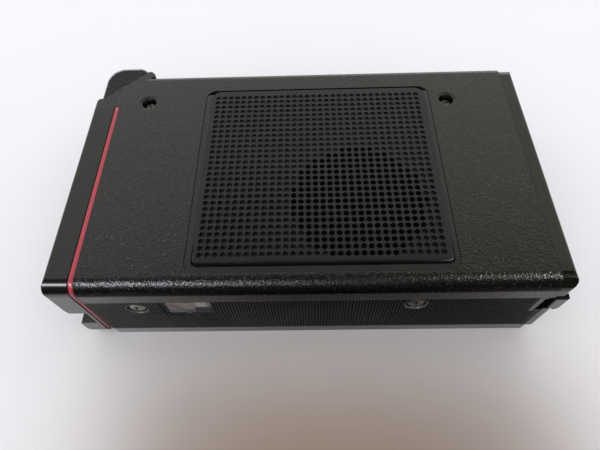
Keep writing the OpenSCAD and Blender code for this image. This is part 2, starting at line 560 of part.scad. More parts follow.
// ---- level meter ----
module meter_body() color([0.12, 0.12, 0.12]) difference() {
  box(win[0] - 1, win[1] + 0.8, -43.1, -36, 14.9, 28);
  box(win[0] + 0.1, win[1] - 0.1, -50, -37, 15.8, 27.2);
}
module meter_scale() color([0.72, 0.66, 0.55]) difference() {
  box(win[0] + 0.25, win[1] - 0.25, -44.1, -43.6, win[2] + 0.15, win[3] - 0.15);
  rody(needle_p[0], needle_p[1], 0.5 + run_c, -50, -40);
}
module meter_needle() color([0.08, 0.08, 0.08]) {
  translate([needle_p[0], 0, needle_p[1]]) rotate([0, -38, 0]) box(-0.15, 0.15, -44.5, -44.38, 0.1, 8.3);
  rody(needle_p[0], needle_p[1], 0.9, -44.54, -44.34);
  rody(needle_p[0], needle_p[1], 0.5, -44.44, -38);
}
module meter_window() color([0.6, 0.58, 0.62, 0.5]) box(win[0] + 0.08, win[1] - 0.08, -45.05, -44.78, win[2] + 0.08, win[3] - 0.08);

rear_cover();
top_trim();
red_stripe();
speaker_grille();
near_side_panel();
far_side_panel();
front_cover();
top_end_frame();
end_cap();
strap_bar();
rear_screws();
side_screws();
battery_box();
battery_contacts();
battery_lid();
hinge_pins();
cassette_door();
door_window();
cassette_well();
mechanism_chassis();
drive_motor();
motor_pulley();
drive_belt();
flywheel();
capstan();
capstan_bearing();
idler_wheel();
takeup_spindle();
supply_spindle();
head_slide();
record_head();
erase_head();
pinch_arm();
pinch_roller();
key_frame();
key_springs();
record_key();
play_key();
forward_key();
rewind_key();
stop_key();
pause_key();
main_board();
board_parts();
control_board();
volume_dial();
level_dial();
jack_sockets();
dc_jack();
mic_bezel();
mic_mesh();
mic_capsules();
speaker_frame();
speaker_magnet();
speaker_cone();
meter_body();
meter_scale();
meter_needle();
meter_window();
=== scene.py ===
import json
import math

import bmesh
import bpy
from mathutils import Matrix, Vector
from mathutils.geometry import tessellate_polygon

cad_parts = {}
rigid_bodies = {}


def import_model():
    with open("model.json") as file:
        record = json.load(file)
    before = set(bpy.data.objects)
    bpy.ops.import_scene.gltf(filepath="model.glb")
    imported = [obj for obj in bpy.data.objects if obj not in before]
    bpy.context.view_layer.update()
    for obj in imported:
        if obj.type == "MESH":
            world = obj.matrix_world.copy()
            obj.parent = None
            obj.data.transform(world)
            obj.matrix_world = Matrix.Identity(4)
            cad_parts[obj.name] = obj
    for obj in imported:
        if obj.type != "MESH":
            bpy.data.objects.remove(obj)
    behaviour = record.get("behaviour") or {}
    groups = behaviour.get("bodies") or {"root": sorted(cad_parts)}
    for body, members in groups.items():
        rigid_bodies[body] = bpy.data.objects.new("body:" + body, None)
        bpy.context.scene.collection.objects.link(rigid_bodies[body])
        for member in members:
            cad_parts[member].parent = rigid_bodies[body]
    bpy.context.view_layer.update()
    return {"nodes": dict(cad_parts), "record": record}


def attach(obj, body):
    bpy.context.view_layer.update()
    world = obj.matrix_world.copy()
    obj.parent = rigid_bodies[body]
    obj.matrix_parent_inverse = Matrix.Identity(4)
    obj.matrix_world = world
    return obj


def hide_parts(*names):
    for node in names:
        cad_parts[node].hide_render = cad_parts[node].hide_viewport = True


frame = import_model()
nodes = frame["nodes"]
scene = bpy.context.scene
S = 0.001  # the numbers below are millimetres

# ------------------------------------------------------------------ camera
CAM = Vector((1.82, -98.59, 161.69)) * S
FWD = Vector((-0.02454, 0.51409, -0.85739)).normalized()
side = FWD.cross(Vector((0, 0, 1))).normalized()
up = side.cross(FWD)
roll = math.asin(-0.0295 / up.z)
right = side * math.cos(roll) + up * math.sin(roll)
top = right.cross(FWD)
cam_data = bpy.data.cameras.new("camera")
cam = bpy.data.objects.new("camera", cam_data)
scene.collection.objects.link(cam)
cam_data.sensor_width = 36.0
cam_data.lens = 467.9 * 36.0 / 600.0
cam_data.clip_start, cam_data.clip_end = 0.005, 50.0
cam.matrix_world = Matrix((
    (right.x, top.x, -FWD.x, CAM.x),
    (right.y, top.y, -FWD.y, CAM.y),
    (right.z, top.z, -FWD.z, CAM.z),
    (0, 0, 0, 1)))
scene.camera = cam


# ------------------------------------------------------------------ materials
class Mat:
    """A principled material with a few short ways to add texture nodes. Coordinates are the object's own, in metres."""

    def __init__(self, name, color, rough, metal=0.0, spec=0.5):
        self.m = bpy.data.materials.new(name)
        self.m.use_nodes = True
        self.nt = self.m.node_tree
        self.nt.nodes.clear()
        out = self.nt.nodes.new("ShaderNodeOutputMaterial")
        self.p = self.nt.nodes.new("ShaderNodeBsdfPrincipled")
        self.nt.links.new(self.p.outputs[0], out.inputs[0])
        self.p.inputs["Base Color"].default_value = (*color, 1)
        self.p.inputs["Roughness"].default_value = rough
        self.p.inputs["Metallic"].default_value = metal
        self.p.inputs["Specular IOR Level"].default_value = spec
        self.co = self.nt.nodes.new("ShaderNodeTexCoord").outputs["Object"]
        self.m.diffuse_color = (*color, 1)

    def put(self, value, socket):
        if isinstance(value, bpy.types.NodeSocket):
            self.nt.links.new(value, socket)
        else:
            socket.default_value = value

    def set(self, name, value):
        self.put(value, self.p.inputs[name])

    def stretch(self, x, y, z, vec=None):
        n = self.nt.nodes.new("ShaderNodeMapping")
        self.put(vec or self.co, n.inputs["Vector"])
        n.inputs["Scale"].default_value = (x, y, z)
        return n.outputs[0]

    def noise(self, scale, detail=3.0, rough=0.55, warp=0.0, vec=None):
        n = self.nt.nodes.new("ShaderNodeTexNoise")
        self.put(vec or self.co, n.inputs["Vector"])
        n.inputs["Scale"].default_value = scale
        n.inputs["Detail"].default_value = detail
        n.inputs["Roughness"].default_value = rough
        n.inputs["Distortion"].default_value = warp
        return n.outputs["Fac"]

    def cells(self, scale, smooth=None, vec=None, jitter=1.0):
        n = self.nt.nodes.new("ShaderNodeTexVoronoi")
        n.feature = "F1" if smooth is None else "SMOOTH_F1"
        self.put(vec or self.co, n.inputs["Vector"])
        n.inputs["Scale"].default_value = scale
        n.inputs["Randomness"].default_value = jitter
        if smooth is not None:
            n.inputs["Smoothness"].default_value = smooth
        return n.outputs["Distance"]

    def axis(self, which):
        n = self.nt.nodes.new("ShaderNodeSeparateXYZ")
        self.put(self.co, n.inputs[0])
        return n.outputs[which]

    def math(self, op, a, b=0.0, c=0.0):
        n = self.nt.nodes.new("ShaderNodeMath")
        n.operation = op
        for i, v in enumerate((a, b, c)):
            self.put(v, n.inputs[i])
        return n.outputs[0]

    def span(self, v, a0, a1, b0, b1, smooth=False):
        n = self.nt.nodes.new("ShaderNodeMapRange")
        if smooth:
            n.interpolation_type = "SMOOTHSTEP"
        self.put(v, n.inputs[0])
        for i, x in enumerate((a0, a1, b0, b1)):
            self.put(x, n.inputs[i + 1])
        return n.outputs[0]

    def mix(self, fac, a, b):
        n = self.nt.nodes.new("ShaderNodeMix")
        n.data_type = "RGBA"
        self.put(fac, n.inputs[0])
        for v, sock in ((a, n.inputs[6]), (b, n.inputs[7])):
            self.put((*v, 1) if isinstance(v, tuple) else v, sock)
        return n.outputs[2]

    def edge(self, radius_mm):
        n = self.nt.nodes.new("ShaderNodeBevel")
        n.samples = 6
        n.inputs["Radius"].default_value = radius_mm * S
        return n.outputs[0]

    def bump(self, height, depth_mm, strength=1.0, normal=None):
        n = self.nt.nodes.new("ShaderNodeBump")
        self.put(strength, n.inputs["Strength"])
        n.inputs["Distance"].default_value = depth_mm * S
        self.put(height, n.inputs["Height"])
        if normal is not None:
            self.put(normal, n.inputs["Normal"])
        return n.outputs[0]


def shade(c, k):
    return tuple(min(1.0, x * k) for x in c)


def plastic(name, color, rough, grain_mm=0.006, grain_scale=3200.0, edge_mm=0.12, vary=0.18, spec=0.5):
    """Moulded plastic: faint flow and handling marks, a fine spark-eroded skin, soft edges."""
    k = Mat(name, color, rough, spec=spec)
    broad, fine = k.noise(70.0, 4.0, 0.6), k.noise(grain_scale, 2.0)
    k.set("Base Color", k.mix(broad, shade(color, 1 - vary), shade(color, 1 + vary)))
    marks = k.noise(420.0, 5.0, 0.65, vec=k.stretch(1.0, 0.35, 1.0))
    k.set("Roughness", k.math("ADD", k.span(broad, 0.3, 0.7, rough * 0.86, rough * 1.1), k.span(marks, 0.55, 0.8, 0.0, 0.07)))
    k.set("Normal", k.bump(fine, grain_mm, 0.6, k.edge(edge_mm)))
    return k.m


def metal(name, color, rough, along=(1, 1, 1), edge_mm=0.08, tarnish=0.25, strength=0.35):
    """Plated or turned metal: fine lines along one direction, dulled in patches."""
    k = Mat(name, color, rough, 1.0)
    lines = k.noise(2600.0, 3.0, 0.6, vec=k.stretch(*along))
    patches = k.noise(190.0, 5.0, 0.65)
    k.set("Base Color", k.mix(k.span(patches, 0.4, 0.75, 0.0, tarnish), color, shade(color, 0.45)))
    k.set("Roughness", k.math("ADD", k.span(lines, 0.25, 0.75, rough * 0.75, rough * 1.25), k.span(patches, 0.45, 0.8, 0.0, 0.15)))
    k.set("Normal", k.bump(lines, 0.004, strength, k.edge(edge_mm)))
    return k.m


def leather_plastic():
    """Dark plastic moulded with a leather grain on the broad face and the long edges; plain below the edges."""
    base = (0.0036, 0.0034, 0.0027)
    k = Mat("grain_plastic", base, 0.35)
    warp = k.noise(700.0, 2.0)
    n = k.nt.nodes.new("ShaderNodeVectorMath")
    n.operation = "MULTIPLY_ADD"
    wn = k.nt.nodes.new("ShaderNodeTexNoise")
    wn.inputs["Scale"].default_value = 800.0
    wn.inputs["Detail"].default_value = 2.0
    k.put(k.co, wn.inputs["Vector"])
    k.put(wn.outputs["Color"], n.inputs[0])
    n.inputs[1].default_value = (0.00045,) * 3
    k.put(k.co, n.inputs[2])
    bent = n.outputs[0]
    pebble = k.cells(1450.0, 0.30, bent)
    fine = k.cells(3300.0, 0.3, bent)
    height = k.math("ADD", k.span(pebble, 0.05, 0.62, 1.0, 0.0, True), k.math("MULTIPLY", k.span(fine, 0.05, 0.6, 1.0, 0.0, True), 0.35))
    here = k.span(k.axis(2), 0.0323, 0.0330, 0.0, 1.0)
    height = k.math("MULTIPLY", height, here)
    crease = k.span(height, 0.15, 0.8, 0.0, 1.0)
    broad = k.noise(55.0, 4.0, 0.6)
    dark = k.mix(broad, shade(base, 0.86), shade(base, 1.12))
    # painted shade: the lower half of the rounded edges is painted deep black and its reflection turned down, standing
    # in for the dark room mirrored there
    under = k.math("MULTIPLY", here, k.span(k.axis(2), 0.0340, 0.0364, 1.0, 0.0))
    dark = k.mix(k.math("MULTIPLY", under, 0.9), dark, shade(base, 0.2))
    # painted shade: the hollows of the grain get a darker base colour and a weaker reflection than the pebble tops
    k.set("Base Color", k.mix(k.math("MULTIPLY", here, k.span(crease, 0.0, 1.0, 0.45, 0.0)), dark, shade(base, 0.45)))
    k.set("Roughness", k.math("ADD", k.span(crease, 0.0, 1.0, 0.27, 0.13), k.span(warp, 0.35, 0.7, -0.02, 0.04)))
    gloss = k.math("ADD", 0.545, k.math("MULTIPLY", here, k.span(crease, 0.0, 1.0, -0.10, 0.03)))
    # painted reflection: below the grain, the plain band's reflection is made stronger towards the left and right ends
    # than in the middle
    side = k.math("ADD", k.span(k.axis(0), -0.042, 0.0, 1.42, 0.46, True), k.span(k.axis(0), 0.0, 0.055, 0.0, 0.55, True))
    side = k.math("ADD", k.math("MULTIPLY", side, k.math("SUBTRACT", 1.0, here)), here)
    # the painted shade under the edges also weakens the reflection here
    k.set("Specular IOR Level", k.math("MULTIPLY", k.math("MULTIPLY", gloss, side), k.span(under, 0.0, 1.0, 1.0, 0.18)))
    # painted reflection: the reflections turn warmer towards the right end
    warm_reflection_right = k.span(k.axis(0), -0.03, 0.06, 0.0, 1.0, True)
    k.set("Specular Tint", k.mix(warm_reflection_right, (1.0, 0.99, 0.95), (1.0, 0.955, 0.87)))
    near = k.span(k.axis(1), -0.045, 0.045, 1.0, 0.42)
    # grains that stand up more steeply, scattered over the near half
    grit = k.math("MULTIPLY", k.span(k.cells(1000.0), 0.0, 0.25, 1.0, 0.0, True), k.math("MULTIPLY", here, k.span(k.axis(1), -0.044, 0.03, 1.0, 0.15)))
    skin = k.bump(k.noise(3600.0, 2.0), 0.005, 0.5, k.edge(0.15))
    pebbled = k.bump(height, 0.06, k.math("MULTIPLY", near, 0.75), skin)
    grit = k.math("MULTIPLY", grit, k.span(k.axis(0), -0.03, 0.05, 0.85, 1.6))
    waves = k.math("MULTIPLY", k.math("MULTIPLY", here, k.span(k.axis(1), -0.044, 0.035, 1.0, 0.2)), k.span(k.axis(0), -0.06, 0.04, 0.45, 1.0))
    pebbled = k.bump(k.noise(950.0, 1.5, 0.5), 0.09, waves, pebbled)
    k.set("Normal", k.bump(grit, 0.21, 1.0, pebbled))
    return k.m


def ribbed_plastic():
    """Plastic with fine upright ribs: the grooves between them are painted duller and darker than the rib tops, as
    painted shade.
    """
    k = Mat("ribbed_plastic", (0.008, 0.008, 0.0075), 0.45, spec=0.35)
    height = k.span(k.math("ABSOLUTE", k.axis(1)), 0.04488, 0.04512, 0.0, 1.0)
    broad = k.noise(70.0, 4.0, 0.6)
    # painted reflection: the rib tops reflect more towards the left end and less right of the middle
    along = k.span(k.axis(0), -0.07, 0.01, 1.0, 0.0, True)
    tone = k.mix(broad, (0.0038, 0.0037, 0.0030), (0.0058, 0.0056, 0.0047))
    # painted shade: grooves darker and reflecting less than the rib tops
    k.set("Base Color", k.mix(height, (0.0014, 0.0014, 0.0013), tone))
    k.set("Specular IOR Level", k.math("MULTIPLY", k.span(height, 0.0, 1.0, 0.05, 0.25), k.math("MULTIPLY", k.span(along, 0.0, 1.0, 0.60, 1.72), k.span(k.axis(0), 0.01, 0.05, 1.0, 0.78))))
    k.set("Roughness", k.span(broad, 0.3, 0.7, 0.40, 0.5))
    k.set("Normal", k.bump(k.noise(3000.0, 2.0), 0.004, 0.6, k.edge(0.07)))
    return k.m


def front_plastic():
    """Grey moulded plastic, painted paler towards its ends as painted light, with the middle left darker as painted
    shade.
    """
    k = Mat("front_plastic", (0.096, 0.0925, 0.096), 0.38)
    broad = k.noise(70.0, 4.0, 0.6)
    grey = k.mix(broad, (0.062, 0.0595, 0.0625), (0.080, 0.077, 0.081))
    # painted light: the grey is mixed paler towards the left and right ends
    ends = k.math("ADD", k.span(k.axis(0), -0.055, -0.005, 1.0, 0.0, True), k.span(k.axis(0), 0.01, 0.07, 0.0, 0.55, True))
    k.set("Base Color", k.mix(ends, grey, (0.126, 0.123, 0.131)))
    k.set("Roughness", k.span(broad, 0.3, 0.7, 0.33, 0.42))
    k.set("Normal", k.bump(k.noise(2800.0, 2.0), 0.005, 0.6, k.edge(0.14)))
    return k.m


def frame_plastic():
    """The left end's smooth black plastic; its near side is painted greyer as a painted reflection of the pale floor.
    """
    base = (0.0032, 0.0032, 0.0027)
    k = Mat("frame_plastic", base, 0.20, spec=0.42)
    broad = k.noise(70.0, 4.0, 0.6)
    # painted reflection: the near face gets a grey base colour in place of the floor's reflection
    face = k.span(k.axis(1), -0.04515, -0.0446, 1.0, 0.0)
    k.set("Base Color", k.mix(face, k.mix(broad, shade(base, 0.82), shade(base, 1.18)), (0.042, 0.042, 0.044)))
    k.set("Specular Tint", (1.0, 1.0, 0.95, 1.0))
    k.set("Roughness", k.span(broad, 0.3, 0.7, 0.17, 0.23))
    k.set("Normal", k.bump(k.noise(3000.0, 2.0), 0.002, 0.6, k.edge(0.2)))
    return k.m


def strap_paint():
    """Grey paint; its side towards the pocket the strap goes through and its upper end are painted black as painted
    shade, for the shadow they lie in.
    """
    k = Mat("strap_metal", (0.085, 0.085, 0.085), 0.32)
    broad = k.noise(90.0, 4.0, 0.6)
    grey = k.mix(broad, (0.054, 0.052, 0.050), (0.072, 0.070, 0.067))
    # painted shade: black with a weak reflection where the bar lies in the shadow of the pocket and of the cap above
    pocket_shade = k.math("MULTIPLY", k.span(k.axis(1), -0.04495, -0.0447, 0.0, 1.0), k.span(k.axis(0), 0.0764, 0.0772, 1.0, 0.0))
    pocket_shade = k.math("MAXIMUM", pocket_shade, k.span(k.axis(2), 0.0256, 0.0260, 0.0, 1.0))
    k.set("Base Color", k.mix(pocket_shade, grey, (0.004, 0.004, 0.004)))
    k.set("Specular IOR Level", k.span(pocket_shade, 0.0, 1.0, 0.5, 0.04))
    k.set("Roughness", k.span(broad, 0.3, 0.7, 0.28, 0.38))
    k.set("Normal", k.bump(k.noise(2400.0, 2.0), 0.004, 0.6, k.edge(0.12)))
    return k.m


def rubber(name, color=(0.014, 0.014, 0.014), spec=0.3):
    k = Mat(name, color, 0.75, spec=spec)
    fine = k.noise(2400.0, 4.0, 0.6)
    k.set("Base Color", k.mix(k.noise(300.0, 3.0), shade(color, 0.7), shade(color, 1.4)))
    k.set("Roughness", k.span(fine, 0.3, 0.7, 0.66, 0.85))
    k.set("Normal", k.bump(fine, 0.012, 0.6, k.edge(0.1)))
    return k.m


def clear(name, tint, alpha, rough):
    k = Mat(name, tint, rough, spec=0.5)
    k.set("Alpha", k.span(k.noise(240.0, 4.0), 0.3, 0.7, alpha * 0.85, alpha * 1.15))
    k.set("Roughness", k.span(k.noise(900.0, 4.0, 0.6), 0.35, 0.75, rough, rough + 0.08))
    k.set("Normal", k.edge(0.06))
    return k.m


def board(name):
    """Printed board: green lacquer over a lighter track pattern."""
    k = Mat(name, (0.03, 0.13, 0.055), 0.35)
    tracks = k.cells(420.0, None, k.stretch(1.0, 1.0, 0.02), 0.0)
    k.set("Base Color", k.mix(k.span(tracks, 0.28, 0.34, 0.0, 1.0), (0.028, 0.11, 0.045), (0.06, 0.21, 0.08)))
    k.set("Roughness", k.span(k.noise(400.0), 0.3, 0.7, 0.28, 0.45))
    k.set("Normal", k.bump(k.span(tracks, 0.28, 0.34, 0.0, 1.0), 0.03, 0.6, k.edge(0.1)))
    return k.m


def paper(name, color):
    k = Mat(name, color, 0.85, spec=0.2)
    fibre = k.noise(1500.0, 6.0, 0.7, vec=k.stretch(1.0, 0.4, 1.0))
    k.set("Base Color", k.mix(fibre, shade(color, 0.6), shade(color, 1.5)))
    k.set("Roughness", k.span(fibre, 0.3, 0.7, 0.75, 0.95))
    k.set("Normal", k.bump(fibre, 0.03, 0.7))
    return k.m


M = {
    "grain_plastic": leather_plastic(),
    "smooth_plastic": plastic("smooth_plastic", (0.0032, 0.0032, 0.0026), 0.20, 0.002, 3000.0, 0.20, spec=0.42),
    "red_trim": plastic("red_trim", (0.20, 0.020, 0.029), 0.30, 0.003, 2600.0, 0.12, 0.06),
    "grille_plastic": plastic("grille_plastic", (0.0030, 0.0030, 0.0026), 0.30, 0.006, 3600.0, 0.05, spec=0.32),
    "ribbed_plastic": ribbed_plastic(),
    "front_plastic": front_plastic(),
    "strap_metal": strap_paint(),
    "screw_steel": metal("screw_steel", (0.34, 0.335, 0.29), 0.36, (1, 1, 1), 0.10, 0.45),
    "inner_plastic": plastic("inner_plastic", (0.014, 0.014, 0.015), 0.5, 0.006, 2600.0, 0.12),
    "contact_metal": metal("contact_metal", (0.72, 0.70, 0.63), 0.28, (1, 0.1, 1)),
    "pin_steel": metal("pin_steel", (0.70, 0.70, 0.71), 0.15, (1, 1, 0.1), 0.05, 0.1),
    "window_clear": clear("window_clear", (0.33, 0.33, 0.36), 0.22, 0.08),
    "chassis_steel": metal("chassis_steel", (0.60, 0.60, 0.58), 0.30, (0.06, 1, 1), 0.1, 0.3),
    "motor_steel": metal("motor_steel", (0.56, 0.56, 0.57), 0.27, (1, 1, 0.08), 0.12, 0.2),
    "brass_parts": metal("brass_parts", (0.70, 0.50, 0.20), 0.24, (0.1, 0.1, 1), 0.06, 0.3),
    "rubber_black": rubber("rubber_black"),
    "flywheel_metal": metal("flywheel_metal", (0.62, 0.58, 0.48), 0.22, (0.1, 0.1, 1), 0.1, 0.15),
    "spindle_plastic": plastic("spindle_plastic", (0.72, 0.71, 0.66), 0.35, 0.004, 2400.0, 0.1, 0.06),
    "head_metal": metal("head_metal", (0.68, 0.68, 0.70), 0.14, (1, 1, 0.1), 0.1, 0.1),
    "key_red": plastic("key_red", (0.36, 0.022, 0.028), 0.3, 0.004, 2600.0, 0.2, 0.08),
    "key_grey": plastic("key_grey", (0.040, 0.040, 0.042), 0.32, 0.004, 2600.0, 0.2),
    "board_green": board("board_green"),
    "board_parts": plastic("board_parts", (0.022, 0.028, 0.055), 0.3, 0.004, 2000.0, 0.2),
    "dial_plastic": plastic("dial_plastic", (0.034, 0.034, 0.036), 0.36, 0.005, 2600.0, 0.1),
    "mesh_metal": plastic("mesh_metal", (0.040, 0.045, 0.045), 0.28, 0.003, 3000.0, 0.02, spec=0.36),
    "magnet_iron": rubber("magnet_iron", (0.06, 0.06, 0.065)),
    "cone_paper": paper("cone_paper", (0.016, 0.016, 0.016)),
    "scale_cream": plastic("scale_cream", (0.50, 0.43, 0.32), 0.5, 0.004, 2000.0, 0.04, 0.1),
    "needle_paint": plastic("needle_paint", (0.03, 0.028, 0.028), 0.4, 0.003, 2000.0, 0.02, 0.1),
}
M["print_dark"] = plastic("print_dark", (0.006, 0.006, 0.006), 0.5, 0.003, 2000.0, 0.02, 0.2)
M["print_tan"] = plastic("print_tan", (0.17, 0.135, 0.095), 0.5, 0.003, 2000.0, 0.02, 0.12)
M["print_lilac"] = plastic("print_lilac", (0.085, 0.083, 0.095), 0.45, 0.003, 2000.0, 0.02, 0.12)
M["print_brown"] = plastic("print_brown", (0.075, 0.062, 0.050), 0.5, 0.003, 2000.0, 0.02, 0.15)
M["print_cream"] = plastic("print_cream", (0.215, 0.20, 0.18), 0.45, 0.003, 2000.0, 0.02, 0.08)
M["mark_white"] = plastic("mark_white", (0.66, 0.66, 0.63), 0.45, 0.003, 2000.0, 0.03, 0.06)
M["foam_black"] = rubber("foam_black", (0.003, 0.003, 0.003), 0.03)
M["grille_rim"] = plastic("grille_rim", (0.0032, 0.0032, 0.0027), 0.30, 0.005, 3600.0, 0.05, spec=0.43)
M["grille_edge"] = plastic("grille_edge", (0.0032, 0.0032, 0.0027), 0.13, 0.003, 3600.0, 0.02, spec=0.6)
M["lens_clear"] = clear("lens_clear", (0.10, 0.10, 0.11), 0.06, 0.06)
M["lens_clear"].node_tree.nodes["Principled BSDF"].inputs["Specular IOR Level"].default_value = 0.2
M["painted_recess_shade"] = rubber("painted_recess_shade", (0.010, 0.010, 0.009), 0.1)
M["bezel_plastic"] = plastic("bezel_plastic", (0.0034, 0.0034, 0.0029), 0.34, 0.004, 3000.0, 0.03, spec=0.42)
M["end_plastic"] = plastic("end_plastic", (0.0032, 0.0031, 0.0024), 0.13, 0.003, 3000.0, 0.20, spec=0.40)
for m, tint in (("end_plastic", (1.0, 0.97, 0.86)), ("grille_rim", (1.0, 0.98, 0.93)), ("grille_plastic", (1.0, 0.985, 0.95)), ("smooth_plastic", (1.0, 1.0, 0.95))):
    M[m].node_tree.nodes["Principled BSDF"].inputs["Specular Tint"].default_value = (*tint, 1)
M["frame_plastic"] = frame_plastic()
M["rim_plastic"] = plastic("rim_plastic", (0.030, 0.029, 0.029), 0.32, 0.003, 2800.0, 0.06)
M["red_side_shaded"] = plastic("red_side_shaded", (0.13, 0.014, 0.021), 0.35, 0.003, 2600.0, 0.06, 0.08)
M["red_shade"] = plastic("red_shade", (0.085, 0.006, 0.010), 0.45, 0.003, 2600.0, 0.05, 0.1)

for part in frame["record"]["subparts"]:
    o = nodes[part["node"]]
    o.data.materials.clear()
    o.data.materials.append(M[part["material_slot"]])
for name, m in (("meter_window", "lens_clear"), ("mic_bezel", "bezel_plastic"), ("end_cap", "end_plastic"), ("top_trim", "frame_plastic"), ("top_end_frame", "frame_plastic")):
    nodes[name].data.materials[0] = M[m]


# ------------------------------------------------------------------ mesh helpers
def finish_mesh(name, bm, mats, body, sharp_deg=32.0, merge=None):
    if merge:
        bmesh.ops.remove_doubles(bm, verts=bm.verts, dist=merge * S)
    bmesh.ops.recalc_face_normals(bm, faces=bm.faces)
    me = bpy.data.meshes.new(name)
    bm.to_mesh(me)
    bm.free()
    for m in mats:
        me.materials.append(M[m])
    me.shade_smooth()
    me.set_sharp_from_angle(angle=math.radians(sharp_deg))
    o = bpy.data.objects.new(name, me)
    scene.collection.objects.link(o)
    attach(o, body)
    return o


def rounded(x0, y0, x1, y1, r, n=8, per_side=10, far=None):
    """A rounded rectangle's outline, anticlockwise from the right end of the near side, always with the same number of points."""
    pts = []
    f = r if far is None else far
    for cx, cy, a0, q in ((x1 - r, y0 + r, -90, r), (x1 - f, y1 - f, 0, f), (x0 + f, y1 - f, 90, f), (x0 + r, y0 + r, 180, r)):
        for i in range(n + 1):
            a = math.radians(a0 + 90.0 * i / n)
            pts.append((cx + q * math.cos(a), cy + q * math.sin(a)))
    out = []
    for i, p in enumerate(pts):
        out.append(p)
        if i % (n + 1) == n:
            q = pts[(i + 1) % len(pts)]
            out += [(p[0] + (q[0] - p[0]) * t / per_side, p[1] + (q[1] - p[1]) * t / per_side) for t in range(1, per_side)]
    return out


def skin(bm, a, b, close=True, mat=0):
    """Quads between two loops of the same length."""
    n = len(a)
    for i in range(n if close else n - 1):
        j = (i + 1) % n
        bm.faces.new((a[i], a[j], b[j], b[i])).material_index = mat


def prism(bm, outline, lift, mat=0):
    """A closed slab: outline is a list of points, lift the vector from its back to its front."""
    back = [bm.verts.new(Vector(p) * S) for p in outline]
    front = [bm.verts.new((Vector(p) + Vector(lift)) * S) for p in outline]
    made = [bm.faces.new(back[::-1]), bm.faces.new(front)]
    n = len(back)
    for i in range(n):
        made.append(bm.faces.new((back[i], back[(i + 1) % n], front[(i + 1) % n], front[i])))
    for f in made:
        f.material_index = mat
    return made


def lathe(bm, profile, place, n=40, mat=0):
    """A closed ring of revolution: profile is a loop of (radius, height), place turns (x, y, height) into a point."""
    rings = []
    for i in range(n):
        a = 2 * math.pi * i / n
        rings.append([bm.verts.new(Vector(place(r * math.cos(a), r * math.sin(a), h)) * S) for r, h in profile])
    for i in range(n):
        p, q = rings[i], rings[(i + 1) % n]
        for k in range(len(profile)):
            f = bm.faces.new((p[k], p[(k + 1) % len(profile)], q[(k + 1) % len(profile)], q[k]))
            f.material_index = mat


